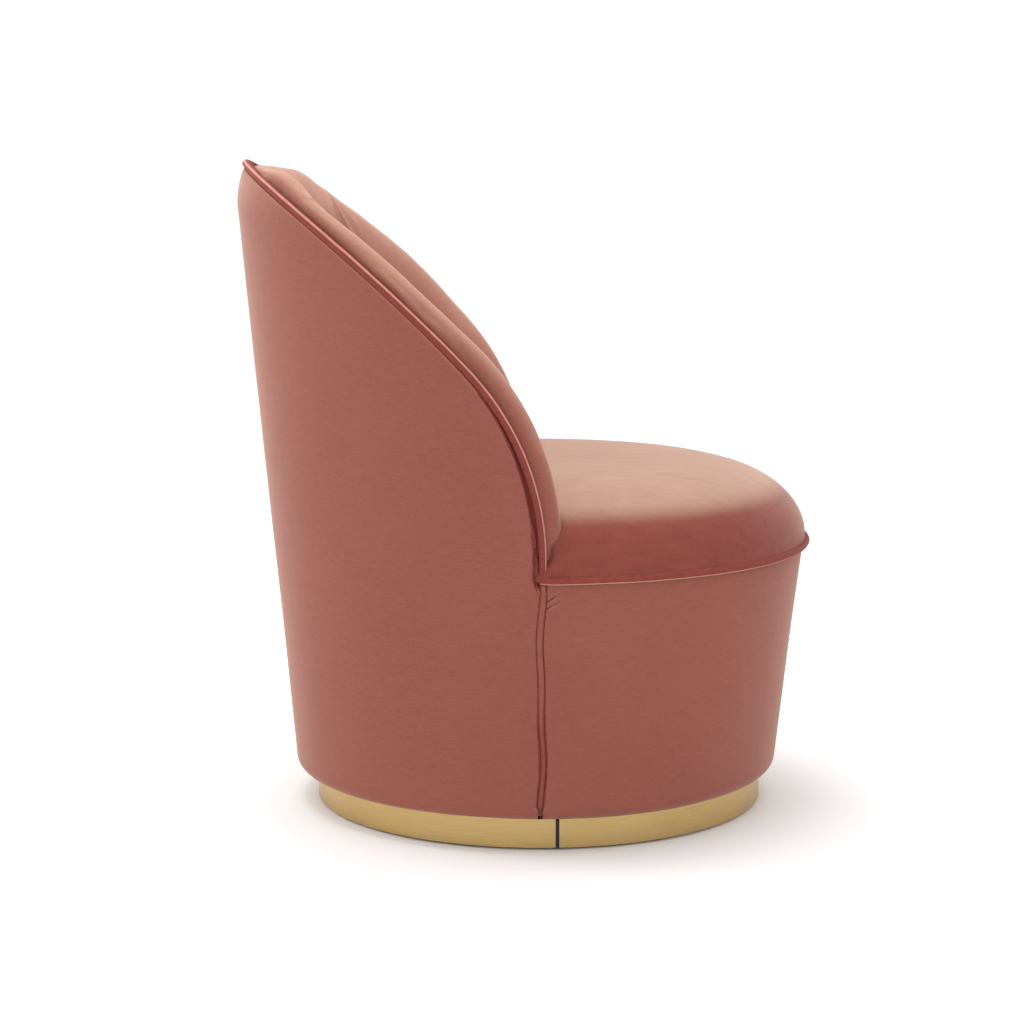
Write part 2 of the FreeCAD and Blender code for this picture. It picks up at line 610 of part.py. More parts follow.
def make_covers():
    skin = rounded_cone(0.0, 900).cut(rounded_cone(CLOTH, 950)).cut(disc(RING_IN + 6, 0, 100))
    seam = box(-FAR, FAR, SEAM_Y - 0.5, SEAM_Y + 0.5, 0, FAR)
    add("outside_back_cover", skin.common(behind_edge(-COVER_DROP)).cut(seam))
    front = skin.common(slab(0, SEAM_Z - WELT_R)).cut(behind_edge(0.5)).cut(seam)
    add("front_border_cover", front.common(box(-FAR, FAR, -FAR, SEAM_Y, 0, FAR)))
    strip = shell(-SEAM_PROUD, 0.0, BODY_BOTTOM + BOTTOM_ROUND + 3, SEAM_Z - 12)
    strip = strip.common(box(0, FAR, SEAM_Y - SEAM_WIDTH / 2, SEAM_Y + SEAM_WIDTH / 2, 0, FAR))
    add("side_seam_right", strip)
    add("side_seam_left", mirrored(strip))
    lower_z = BODY_BOTTOM + CLOTH + LOWER_RING_T
    dust = ring(RING_IN - 12, RING_IN + 14, lower_z, lower_z + 1)
    add("dust_cover", dust.cut(NODES["frame_posts"]))


def make_welts():
    add("back_edge_welt", tube_along(edge_path(WELT_R), WELT_R))
    add("seat_welt", seat_welt_ring().common(box(-FAR, FAR, -FAR, SEAM_Y - WELT_R - 1.5, 0, FAR)))


def main():
    make_plinth()
    make_swivel()
    make_turntable()
    make_links()
    make_cradle()
    make_frame()
    make_suspension()
    whole = make_padding()
    make_back_padding(whole)
    make_covers()
    make_welts()
    os.makedirs("parts", exist_ok=True)
    for name, shape in NODES.items():
        shape.exportStep("parts/" + name + ".step")


main()
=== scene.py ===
"""Looks of the nursery glider chair: velvet tub, padded back, crowned seat, piping and gold plinth."""
import bpy
import json
import math
import numpy as np
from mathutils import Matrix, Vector, noise


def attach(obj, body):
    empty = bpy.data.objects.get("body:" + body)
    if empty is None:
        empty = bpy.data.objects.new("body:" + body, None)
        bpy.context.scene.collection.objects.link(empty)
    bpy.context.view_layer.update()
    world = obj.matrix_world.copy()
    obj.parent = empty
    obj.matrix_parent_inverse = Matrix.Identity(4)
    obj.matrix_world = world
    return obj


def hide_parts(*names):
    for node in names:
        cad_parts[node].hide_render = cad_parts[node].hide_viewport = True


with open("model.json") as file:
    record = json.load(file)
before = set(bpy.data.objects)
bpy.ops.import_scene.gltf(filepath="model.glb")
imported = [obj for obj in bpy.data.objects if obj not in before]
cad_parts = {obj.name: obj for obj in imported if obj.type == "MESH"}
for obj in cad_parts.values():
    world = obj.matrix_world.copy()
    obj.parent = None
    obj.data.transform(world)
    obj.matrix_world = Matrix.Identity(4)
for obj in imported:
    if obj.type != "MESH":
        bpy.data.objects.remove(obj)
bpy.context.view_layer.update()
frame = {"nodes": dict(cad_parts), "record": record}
NODES = frame["nodes"]
MM = 0.001
DEG = math.pi / 180.0

# ---- the body's surfaces, as the frame has them (metres) -------------------------------------
BODY_R0 = 0.301                    # radius of the covers' cone at floor level
BODY_FLARE = 0.1055                # growth of the radius with height
AXIS_Y0 = 0.0046                   # the cone's axis at floor level
AXIS_LEAN = -0.0113                # and its lean with height
SEAM_Y = 0.017                     # plane of the side seams
EDGE_Z = 0.3535                    # where the upright start of the back edge turns into its first arc
EDGE_R1 = 0.323                    # first arc of the side profile, and how far it turns
EDGE_TURN = 44.25 * DEG
EDGE_R2 = 1.865                    # second, gentle arc
EDGE_TURN2 = 0.205
SEAM_Z = 0.334                     # level of the seat welt
BOTTOM_Z = 0.041                   # underside of the body
BOTTOM_ROUND = 0.016
UNDER_R = 0.246                    # the covers' hems end here under the body
PANEL_SEAM = 38.0 * DEG            # seams of the padded back, from its middle
SEAT_R = 0.3395
CROWN_RISE = 0.1058                # height of the crowned seat over the welt
CROWN_SPAN = 0.320                 # distance from the rim over which it rises
CROWN_N = 4.0                      # exponents of the crown's section
CROWN_M = 2.17
WELT_R = 0.0044
PAD_FACE = 0.072                   # depth of the inside face under the outer cloth
PROFILE_UPRIGHT = 39               # points on the upright start of the profile


def body_radius(z):
    return BODY_R0 + BODY_FLARE * z


def axis_y(z):
    return AXIS_Y0 + AXIS_LEAN * z


def place(angle, z, inset):
    """Point of the body at an angle from the middle of the back, a level and a depth under the cloth."""
    r = body_radius(z) - inset
    return np.stack([r * np.sin(angle), axis_y(z) + r * np.cos(angle), z + 0 * r], -1)


def smooth(x, low, high):
    """0 at low to 1 at high with soft ends; low may be the larger of the two."""
    t = np.clip((x - low) / (high - low), 0.0, 1.0)
    return t * t * (3.0 - 2.0 * t)


def round_over(distance, radius):
    """Depth under the surface of a quarter-round edge, this far from the edge."""
    inside = np.clip(radius - distance, 0.0, radius)
    return radius - np.sqrt(radius ** 2 - inside ** 2)


def side_profile():
    """(y, z) of the back edge seen from the side: a vertical line, a large arc, a gentle arc."""
    line_z = np.linspace(SEAM_Z, EDGE_Z, PROFILE_UPRIGHT, endpoint=False)
    turn = np.linspace(0.0, EDGE_TURN + EDGE_TURN2, 3000)
    first = turn <= EDGE_TURN
    y1 = SEAM_Y + EDGE_R1
    back = EDGE_R2 - EDGE_R1
    y = np.where(first, y1 - EDGE_R1 * np.cos(turn),
                 y1 + back * math.cos(EDGE_TURN) - EDGE_R2 * np.cos(turn))
    z = np.where(first, EDGE_Z + EDGE_R1 * np.sin(turn),
                 EDGE_Z - back * math.sin(EDGE_TURN) + EDGE_R2 * np.sin(turn))
    return np.concatenate([np.full(len(line_z), SEAM_Y), y]), np.concatenate([line_z, z])


PROFILE_Y, PROFILE_Z = side_profile()


def edge_curve(count=1500):
    """(angle, level) along the back edge, from the seat welt up to the middle of the back."""
    y, z = PROFILE_Y, PROFILE_Z
    share = (y - axis_y(z)) / body_radius(z)
    keep = share < 1.0
    angle = np.arccos(share[keep])
    z = z[keep]
    slope = (z[-1] - z[-2]) / (angle[-1] - angle[-2])
    angle = np.append(angle, 0.0)
    z = np.append(z, z[-1] - slope * angle[-2] * 0.5)
    points = place(angle, z, 0.0)
    length = np.concatenate([[0.0], np.cumsum(np.linalg.norm(np.diff(points, axis=0), axis=1))])
    even = np.linspace(0.0, length[-1], count)
    return even, np.interp(even, length, angle), np.interp(even, length, z)


EDGE_S, EDGE_A, EDGE_ZS = edge_curve()
EDGE_LEN = EDGE_S[-1]
EDGE_SLOPE = np.arctan2(np.gradient(EDGE_ZS), np.maximum(-np.gradient(EDGE_A) * body_radius(EDGE_ZS), 1e-9))


def edge_at(s):
    """Angle and level of the back edge at arc length s from its foot."""
    return np.interp(s, EDGE_S, EDGE_A), np.interp(s, EDGE_S, EDGE_ZS)


def profile_drop(angle, z, depth):
    """Fall of the side profile from the edge to a point this deep under the cloth (negative)."""
    y = axis_y(z) + body_radius(z) * np.cos(angle)
    curve = PROFILE_Y[PROFILE_UPRIGHT:], PROFILE_Z[PROFILE_UPRIGHT:]
    return np.interp(y - depth * np.cos(angle), *curve) - np.interp(y, *curve)


S_SEAM = float(np.interp(-PANEL_SEAM, -EDGE_A, EDGE_S))


# ---- mesh helpers ----------------------------------------------------------------------------
TUBE_SIDES = 18
INFLATE_PRESSURE = 4.0
INFLATE_FRAMES = 20


def value_noise(points, scale, seed):
    """Smooth noise, about -1 to 1, at each point."""
    offset = Vector((seed * 7.31, seed * 3.17, seed * 5.73))
    flat = points.reshape(-1, 3)
    out = np.empty(len(flat))
    for i, p in enumerate(flat):
        at = Vector(p) * scale + offset
        out[i] = noise.noise(at) + 0.5 * noise.noise(at * 2.13)
    return out.reshape(points.shape[:-1])


def mesh_object(name, verts, faces):
    """A smooth-shaded mesh object in the scene."""
    mesh = bpy.data.meshes.new(name)
    mesh.from_pydata([tuple(v) for v in verts], [], faces)
    mesh.validate()
    mesh.polygons.foreach_set("use_smooth", [True] * len(mesh.polygons))
    obj = bpy.data.objects.new(name, mesh)
    bpy.context.scene.collection.objects.link(obj)
    return obj


def grid_mesh(name, grid, wrap_v=False, cap_u=False):
    """A mesh object from a grid of points [u, v, 3]; cap_u closes the two end loops of a tube."""
    nu, nv = grid.shape[:2]
    verts = grid.reshape(-1, 3)
    faces = []
    for i in range(nu - 1):
        a = i * nv
        b = (i + 1) * nv
        for j in range(nv if wrap_v else nv - 1):
            k = (j + 1) % nv
            faces.append((a + j, b + j, b + k, a + k))
    if cap_u:
        verts = np.vstack([verts, grid[0].mean(axis=0), grid[-1].mean(axis=0)])
        for j in range(nv):
            k = (j + 1) % nv
            faces.append((j, k, nu * nv))
            faces.append(((nu - 1) * nv + k, (nu - 1) * nv + j, nu * nv + 1))
    return mesh_object(name, verts, faces)


def fix_normals(obj):
    """Make the normals of all faces agree, outwards."""
    bpy.context.view_layer.objects.active = obj
    for other in bpy.context.selected_objects:
        other.select_set(False)
    obj.select_set(True)
    bpy.ops.object.mode_set(mode="EDIT")
    bpy.ops.mesh.select_all(action="SELECT")
    bpy.ops.mesh.normals_make_consistent(inside=False)
    bpy.ops.object.mode_set(mode="OBJECT")
    obj.select_set(False)
    return obj


def thicken(obj, thickness):
    """Give a sheet its thickness, on the side away from its normals."""
    solid = obj.modifiers.new("thickness", "SOLIDIFY")
    solid.thickness = thickness
    solid.offset = -1.0
    return obj


def tube(name, centres, out, radius):
    """A cord of varying radius along centres; out points away from the body at each of them."""
    tangent = np.gradient(centres, axis=0)
    tangent /= np.linalg.norm(tangent, axis=1, keepdims=True)
    out = out - (out * tangent).sum(axis=1, keepdims=True) * tangent
    out /= np.linalg.norm(out, axis=1, keepdims=True)
    up = np.cross(tangent, out)
    turn = np.linspace(0.0, 2 * math.pi, TUBE_SIDES, endpoint=False)
    section = np.cos(turn)[None, :, None] * out[:, None, :] + np.sin(turn)[None, :, None] * up[:, None, :]
    grid = centres[:, None, :] + section * radius[:, None, None]
    return fix_normals(grid_mesh(name, grid, wrap_v=True, cap_u=True))


def inflate(obj, pinned, cap):
    """Swell a closed pad against its sewn-down points, then keep the result, moved at most by cap."""
    scene = bpy.context.scene
    count = len(obj.data.vertices)
    rest = np.empty(count * 3)
    obj.data.vertices.foreach_get("co", rest)
    group = obj.vertex_groups.new(name="sewn")
    group.add([int(i) for i in pinned], 1.0, "REPLACE")
    cloth = obj.modifiers.new("inflate", "CLOTH")
    cloth.settings.quality = 5
    cloth.settings.mass = 0.3
    cloth.settings.tension_stiffness = 15.0
    cloth.settings.compression_stiffness = 15.0
    cloth.settings.bending_stiffness = 0.5
    cloth.settings.use_pressure = True
    cloth.settings.uniform_pressure_force = INFLATE_PRESSURE
    cloth.settings.vertex_group_mass = "sewn"
    cloth.settings.effector_weights.gravity = 0.0
    cloth.collision_settings.use_collision = False
    for step in range(1, INFLATE_FRAMES + 1):
        scene.frame_set(step)
    blown = obj.evaluated_get(bpy.context.evaluated_depsgraph_get())
    moved = np.empty(count * 3)
    blown.data.vertices.foreach_get("co", moved)
    obj.modifiers.remove(cloth)
    obj.vertex_groups.remove(group)
    scene.frame_set(1)
    shift = (moved - rest).reshape(-1, 3)
    length = np.linalg.norm(shift, axis=1, keepdims=True)
    limited = cap * np.tanh(length / cap)
    shift = shift * limited / np.maximum(length, 1e-9)
    obj.data.vertices.foreach_set("co", (rest.reshape(-1, 3) + shift).ravel())
    obj.data.update()
    return obj


def finish_piece(obj, slot, material, *nodes):
    """Material, body and the CAD nodes a piece stands for; all cloth rides on the seat. The slot argument is
    not used.
    """
    if not obj.data.materials:
        obj.data.materials.append(material)
    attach(obj, "seat")
    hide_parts(*nodes)
    return obj


# ---- materials -------------------------------------------------------------------------------
def new_material(name):
    """A node material: itself, its tree, its shader and the object coordinates."""
    material = bpy.data.materials.new(name)
    material.use_nodes = True
    tree = material.node_tree
    bsdf = tree.nodes["Principled BSDF"]
    coords = tree.nodes.new("ShaderNodeTexCoord")
    return material, tree, bsdf, coords.outputs["Object"]


def mapped(tree, vector, scale):
    node = tree.nodes.new("ShaderNodeMapping")
    node.inputs["Scale"].default_value = scale
    tree.links.new(vector, node.inputs["Vector"])
    return node.outputs["Vector"]


def noise_node(tree, vector, scale, detail=3.0, rough=0.55):
    node = tree.nodes.new("ShaderNodeTexNoise")
    node.inputs["Scale"].default_value = scale
    node.inputs["Detail"].default_value = detail
    node.inputs["Roughness"].default_value = rough
    tree.links.new(vector, node.inputs["Vector"])
    return node.outputs["Fac"]


def ramp(tree, fac, stops):
    """Colour ramp of (position, colour) stops."""
    node = tree.nodes.new("ShaderNodeValToRGB")
    ramp_data = node.color_ramp
    while len(ramp_data.elements) < len(stops):
        ramp_data.elements.new(0.5)
    for element, (pos, colour) in zip(ramp_data.elements, stops):
        element.position = pos
        element.color = (*colour, 1.0)
    tree.links.new(fac, node.inputs["Fac"])
    return node.outputs["Color"]


def bump(tree, bsdf, height, strength, distance):
    """Relief from a height value, distance in metres."""
    node = tree.nodes.new("ShaderNodeBump")
    node.inputs["Strength"].default_value = strength
    node.inputs["Distance"].default_value = distance
    tree.links.new(height, node.inputs["Height"])
    tree.links.new(node.outputs["Normal"], bsdf.inputs["Normal"])


def weighted(tree, *pairs):
    """Weighted sum of several values."""
    total = None
    for value, weight in pairs:
        node = tree.nodes.new("ShaderNodeMath")
        node.operation = "MULTIPLY_ADD"
        tree.links.new(value, node.inputs[0])
        node.inputs[1].default_value = weight
        if total is None:
            node.inputs[2].default_value = 0.0
        else:
            tree.links.new(total, node.inputs[2])
        total = node.outputs["Value"]
    return total


def mix_colour(tree, fac, a, b):
    node = tree.nodes.new("ShaderNodeMix")
    node.data_type = "RGBA"
    tree.links.new(fac, node.inputs["Factor"])
    tree.links.new(a, node.inputs["A"])
    tree.links.new(b, node.inputs["B"])
    return node.outputs["Result"]


def facing_up(tree, low, high):
    """0 on walls to 1 on surfaces that face up, between two heights of the normal: the mask of the painted
    top light.
    """
    geometry = tree.nodes.new("ShaderNodeNewGeometry")
    split = tree.nodes.new("ShaderNodeSeparateXYZ")
    tree.links.new(geometry.outputs["Normal"], split.inputs["Vector"])
    node = tree.nodes.new("ShaderNodeMapRange")
    node.interpolation_type = "SMOOTHSTEP"
    node.inputs["From Min"].default_value = low
    node.inputs["From Max"].default_value = high
    tree.links.new(split.outputs["Z"], node.inputs["Value"])
    return node.outputs["Result"]


def velvet_material(name, tones, lit_top_tones=None, up=(-0.1, 0.8), streak=(9.0, 9.0, 40.0), sheen=0.42):
    """Short-pile velvet: fine brushed nap streaks over a slow drift, pile bump, and a soft sheen.

    The top tones are the lighter look where the cloth faces up, partly the nap and partly painted
    light from above, blended in between the two heights of the normal in up.
    """
    material, tree, bsdf, coords = new_material(name)
    drift = noise_node(tree, coords, 3.5, 3.0, 0.5)
    streaks = noise_node(tree, mapped(tree, coords, streak), 9.0, 4.0, 0.6)
    fine = noise_node(tree, coords, 420.0, 2.0, 0.6)
    mix = weighted(tree, (drift, 0.35), (streaks, 0.40), (fine, 0.25))
    colour = ramp(tree, mix, [(0.34, tones[0]), (0.5, tones[1]), (0.66, tones[2])])
    # painted light from above, together with the nap: lighter tones mixed in where the cloth faces up
    if lit_top_tones:
        top = ramp(tree, mix, [(0.34, lit_top_tones[0]), (0.5, lit_top_tones[1]), (0.66, lit_top_tones[2])])
        colour = mix_colour(tree, facing_up(tree, *up), colour, top)
    tree.links.new(colour, bsdf.inputs["Base Color"])
    bsdf.inputs["Roughness"].default_value = 0.9
    bsdf.inputs["Specular IOR Level"].default_value = 0.12
    bsdf.inputs["Sheen Weight"].default_value = sheen
    bsdf.inputs["Sheen Roughness"].default_value = 0.38
    bsdf.inputs["Sheen Tint"].default_value = (1.0, 0.82, 0.70, 1.0)
    pile = noise_node(tree, coords, 1500.0, 2.0, 0.6)
    bump(tree, bsdf, weighted(tree, (pile, 0.6), (streaks, 0.4)), 0.25, 0.0005)
    return material


def tones(mid, spread):
    """Three shades about a colour: darker and more saturated, itself, lighter."""
    r, g, b = mid
    dark = (r * (1 - spread), g * (1 - 1.3 * spread), b * (1 - 1.3 * spread))
    light = (r * (1 + spread), g * (1 + 1.3 * spread), b * (1 + 1.3 * spread))
    return dark, mid, light


ROSE = (0.275, 0.088, 0.066)
# lighter tones where the cloth faces up: partly the nap, partly painted light from above
ROSE_TOP_LIT = (0.43, 0.215, 0.160)
# the seat's sides, darker and more saturated than the rest: partly the nap, partly painted shade under the
# crown's shoulder
SEAT_WALL = (0.220, 0.054, 0.041)
# the seat's top: partly the nap, partly painted light from above
SEAT_TOP_LIT = (0.405, 0.238, 0.178)
# the welt's velvet darkened as painted shade
CORD_SHADED = (0.220, 0.050, 0.038)
# painted highlight where a welt turns over its edge
CORD_LIT = (0.50, 0.22, 0.17)
# painted shade for faces deep in seams and grooves, without sheen
CREASE_SHADE = (0.235, 0.050, 0.039)
CORD_STREAK = (14.0, 14.0, 14.0)
VELVET = velvet_material("velvet_rose", tones(ROSE, 0.10), tones(ROSE_TOP_LIT, 0.10))
VELVET_SEAT = velvet_material("velvet_rose_seat", tones(SEAT_WALL, 0.16), tones(SEAT_TOP_LIT, 0.12),
                              up=(0.70, 0.92), streak=(9.0, 2.5, 9.0))
# the welt in a shaded copy and a lit copy of one velvet: painted shade and painted highlight
VELVET_WELT_SHADED = velvet_material("velvet_rose_welt", tones(CORD_SHADED, 0.16), streak=CORD_STREAK, sheen=0.12)
VELVET_WELT_LIT = velvet_material("velvet_rose_welt_lit", tones(CORD_LIT, 0.14),
                                  streak=CORD_STREAK, sheen=0.3)
VELVET_CREASE_SHADE = velvet_material("velvet_rose_painted_shade", tones(CREASE_SHADE, 0.12), sheen=0.0)


def gold_material():
    """Brushed gold-coloured metal: level brush marks, a slow change of tone, uneven gloss."""
    material, tree, bsdf, coords = new_material("brushed_gold")
    brush = noise_node(tree, mapped(tree, coords, (1.0, 1.0, 60.0)), 25.0, 6.0, 0.7)
    cloud = noise_node(tree, coords, 7.0, 3.0, 0.5)
    mix = weighted(tree, (brush, 0.7), (cloud, 0.3))
    colour = ramp(tree, mix, [(0.3, (0.44, 0.30, 0.115)), (0.7, (0.62, 0.45, 0.20))])
    tree.links.new(colour, bsdf.inputs["Base Color"])
    bsdf.inputs["Metallic"].default_value = 1.0
    rough = tree.nodes.new("ShaderNodeMapRange")
    rough.inputs["To Min"].default_value = 0.28
    rough.inputs["To Max"].default_value = 0.44
    tree.links.new(brush, rough.inputs["Value"])
    tree.links.new(rough.outputs["Result"], bsdf.inputs["Roughness"])
    bump(tree, bsdf, brush, 0.12, 0.0003)
    return material


def plain_material(name, low, high, rough, metallic=0.0, scale=40.0, stretch=(1, 1, 1), depth=0.0003):
    """A two-tone procedural finish: wood grain, powder coat, zinc, nylon and so on by its numbers."""
    material, tree, bsdf, coords = new_material(name)
    grain = noise_node(tree, mapped(tree, coords, stretch), scale, 6.0, 0.65)
    colour = ramp(tree, grain, [(0.35, low), (0.65, high)])
    tree.links.new(colour, bsdf.inputs["Base Color"])
    bsdf.inputs["Metallic"].default_value = metallic
    bsdf.inputs["Roughness"].default_value = rough
    bump(tree, bsdf, grain, 0.3, depth)
    return material


GOLD = gold_material()
SLOT_MATERIALS = {
    "velvet": VELVET,
    "gold_band": GOLD,
    "cushion_foam": plain_material("cut_foam", (0.72, 0.68, 0.55), (0.84, 0.81, 0.70), 0.95, scale=300.0),
    "webbing": plain_material("black_webbing", (0.012, 0.012, 0.013), (0.03, 0.03, 0.032), 0.9, scale=350.0),
    "plywood": plain_material("birch_plywood", (0.42, 0.27, 0.14), (0.60, 0.43, 0.26), 0.6, scale=14.0,
                              stretch=(1, 6, 25)),
    "black_plastic": plain_material("matt_black_plastic", (0.006, 0.006, 0.006), (0.014, 0.014, 0.014), 0.6,
                                    scale=500.0),
    "nylon": plain_material("natural_nylon", (0.66, 0.65, 0.60), (0.76, 0.75, 0.70), 0.45, scale=80.0),
    "zinc_steel": plain_material("zinc_plate", (0.50, 0.51, 0.53), (0.68, 0.69, 0.71), 0.35, metallic=1.0,
                                 scale=120.0),
    "black_steel": plain_material("black_powder_coat", (0.018, 0.018, 0.02), (0.032, 0.032, 0.035), 0.5,
                                  metallic=0.1, scale=900.0),
    "bumper_rubber": plain_material("moulded_rubber", (0.012, 0.012, 0.012), (0.028, 0.028, 0.028), 0.8,
                                    scale=400.0),
}


def paint_cad_nodes():
    """Every CAD node gets its slot's material, and the gold bands a softened edge."""
    for part in frame["record"]["subparts"]:
        obj = NODES[part["node"]]
        obj.data.materials.clear()
        obj.data.materials.append(SLOT_MATERIALS[part["material_slot"]])
    for name in ("plinth_band_front", "plinth_band_rear"):
        edge = NODES[name].modifiers.new("edge", "BEVEL")
        edge.width = 0.0004
        edge.segments = 2


# ---- outer covers ----------------------------------------------------------------------------
GROOVE_FOOT = 0.0070               # open groove beside the welt at the foot of the back edge
WELT_INSET = 0.0045                # depth of the back edge welt's centre under the cloth's surface
DRAW_IN = 0.0115                   # the cloth draws in this much more at the top of the back
DRAW_REACH = 0.050                 # over this height
RIM_ROUND = 0.0070                 # the outside cover rolls in by this much at the groove
CLOTH_T = 0.0022                   # velvet with its backing
STRIP_T = 0.0014
CREASE_DEPTH = 0.0013              # faces of a cover that lie deeper than this get the painted shade
BACK_HALF = 0.46                   # about half the width of the back's cover
BORDER_WIDTH = 1.05                # about the width of the front border, from seam to seam
UNDER_STEPS = 10                   # points of a cover under the body, and round its lower corner
CORNER_STEPS = 12
PUCKERS = (                        # drop under the seat welt, reach, rise per run, depth
    (0.027, 0.026, 0.72, 0.0030),
    (0.035, 0.022, 0.60, 0.0024),
)
PUCKER_WIDTH = 0.0011
# spacing of mesh lines beside a rounded rim
RIM_STEPS = np.array([0.0, 0.0004, 0.0011, 0.0021, 0.0034, 0.0048, 0.0063, 0.0080, 0.0105, 0.0145])
SEAM_TOP = SEAM_Z - 0.003          # the side seam's fold starts here, under the end of the welt
FOLD_Z = (0.135, 0.200)            # below the first level the seam is one sunk fold


def draw_in(angle):
    """Share of the top's draw-in at an angle from the middle of the back."""
    return smooth(np.abs(angle), 48 * DEG, 4 * DEG)


def welt_inset(angle):
    return WELT_INSET + DRAW_IN * draw_in(angle)


def seam_angle(z):
    """Angle of the side seam's line at a level."""
    return np.arccos((SEAM_Y - axis_y(z)) / body_radius(z))


def seam_wander(z):
    """Sideways wander of the side seam, in metres, as hand-pulled cloth has it."""
    return (0.0020 * np.sin((z - 0.05) * 24.0) + 0.0010 * np.sin((z + 0.02) * 61.0)) * smooth(z, 0.345, 0.30)


def sunk(z):
    """1 where the side seam is one sunk fold, 0 where it is a raised strip."""
    return 1.0 - smooth(z, *FOLD_Z)


def seam_dip(distance, z):
    """Depth of a cover beside the side seam: a tight roll at the top, a wider one at the fold."""
    radius = 0.0030 + 0.0022 * sunk(z)
    return round_over(distance, radius) + 0.0006 * np.exp(-distance / 0.009)


def seam_half(z):
    """Half the width of the side seam's strip."""
    return 0.0037 - 0.0006 * sunk(z)


def turned_under(sign, angle):
    """Points of a cover from its hidden hem under the seat out to its rounded lower corner."""
    z0 = BOTTOM_Z + BOTTOM_ROUND
    ring_r = body_radius(z0)
    under = np.linspace(UNDER_R, ring_r - BOTTOM_ROUND, UNDER_STEPS, endpoint=False)
    points = [(ring_r - r_in, BOTTOM_Z) for r_in in under]
    for corner in np.linspace(math.pi / 2, 0.0, CORNER_STEPS, endpoint=False):
        points.append((BOTTOM_ROUND * (1.0 - math.cos(corner)), z0 - BOTTOM_ROUND * math.sin(corner)))
    inset = np.array([p[0] for p in points])
    z = np.array([p[1] for p in points])
    return place(sign * angle, z, inset + body_radius(z) - ring_r)


def cloth_ripple(grid, seed, amount=0.0007):
    """Move the points of a cover in or out a little, as cloth pulled over wadding lies."""
    centre = np.stack([0 * grid[..., 0], axis_y(grid[..., 2]), grid[..., 2]], -1)
    outward = grid - centre
    outward /= np.linalg.norm(outward, axis=-1, keepdims=True)
    return grid + outward * (value_noise(grid, 6.0, seed) * amount)[..., None]


def shade_creases(obj, depth):
    """Give the faces that lie deep in a seam or groove painted shade as their second material: a darker
    velvet without sheen.
    """
    obj.data.materials.append(VELVET)
    obj.data.materials.append(VELVET_CREASE_SHADE)
    flat = depth.ravel()
    for face in obj.data.polygons:
        if sum(flat[i] for i in face.vertices) / len(face.vertices) > CREASE_DEPTH:
            face.material_index = 1
    return obj


def outside_back():
    """Cover of the back: columns from the hidden hem up to the groove beside the back edge's welt."""
    z0 = BOTTOM_Z + BOTTOM_ROUND
    near_seam = RIM_STEPS / BACK_HALF
    share = np.concatenate([near_seam, np.linspace(near_seam[-1], 1.0, 105)[1:]])
    side = np.concatenate([1.0 - share, share[:-1][::-1] - 1.0])
    edge_a, edge_z = edge_at(np.linspace(0.0, EDGE_LEN, 900))
    rows = 96
    grid = []
    depth = []
    for x in side:
        sign = 1.0 if x >= 0 else -1.0
        x = abs(x)
        s = (1.0 - x) * EDGE_LEN
        angle_top, z_top = edge_at(s)
        lean = smooth(angle_top, 38 * DEG, 84 * DEG)
        gap = WELT_R * 0.55 + GROOVE_FOOT * (1.0 - smooth(s, 0.02, 0.34))
        a0 = x * (seam_angle(z0) - seam_half(z0) / body_radius(z0))
        a_free = angle_top - x * seam_half(SEAM_Z) / body_radius(z_top)
        a_end = angle_top - gap * lean / body_radius(z_top)
        drawn = draw_in(angle_top) * (WELT_INSET + DRAW_IN - 0.002)
        z_end = z_top - gap * (1.0 - lean * 0.9) + 0.5 * float(profile_drop(angle_top, z_top, drawn))
        length = math.hypot(z_end - z0, (a_end - a0) * 0.33)
        near_rim = 1.0 - RIM_STEPS[::-1] / length
        t = np.concatenate([np.linspace(0.0, near_rim[0], rows), near_rim[1:]])
        z = z0 + (z_end - z0) * t
        angle = a0 + (a_free - a0) * t + (a_end - a_free) * smooth((1.0 - t) * length, 0.024, 0.0)
        across = (angle[:, None] - edge_a) * body_radius(z)[:, None]
        to_edge = np.hypot(across, z[:, None] - edge_z).min(axis=1)
        to_rim = np.maximum(to_edge - to_edge[-1], 0.0)
        to_seam = (seam_angle(np.minimum(z, SEAM_Z)) - angle) * body_radius(z)
        distance = np.maximum(to_seam - seam_half(z), 0.0)
        below_welt = smooth(z, SEAM_Z + 0.010, SEAM_Z - 0.004)
        rolled = np.maximum(round_over(to_rim, RIM_ROUND), seam_dip(distance, z) * below_welt)
        inset = rolled + drawn * np.clip(1.0 - (z_end - z) / DRAW_REACH, 0.0, 1.0) ** 1.7
        wander = seam_wander(z) * np.exp(-distance / 0.03)
        body = place(sign * (angle + wander / body_radius(z)), z, inset)
        # the hem tucks in under the welt and closes the groove
        tuck = np.linspace(0.0, 1.0, 6)[1:]
        a_tuck = a_end + (angle_top + 0.004 * lean - a_end) * tuck
        z_tuck = z_end + (0.001 + gap * (1.0 - lean * 0.9)) * tuck
        w_tuck = drawn + RIM_ROUND + (welt_inset(angle_top) - drawn + 0.0052 - RIM_ROUND) * tuck
        hem = place(sign * a_tuck, z_tuck, w_tuck)
        grid.append(np.concatenate([turned_under(sign, a0), body, hem]))
        # the tucked hem always takes the painted shade
        depth.append(np.concatenate([np.zeros(UNDER_STEPS + CORNER_STEPS), rolled, np.ones(len(tuck))]))
    obj = grid_mesh("outside_back_velvet", cloth_ripple(np.array(grid), 3))
    return shade_creases(fix_normals(thicken(obj, CLOTH_T)), np.array(depth))


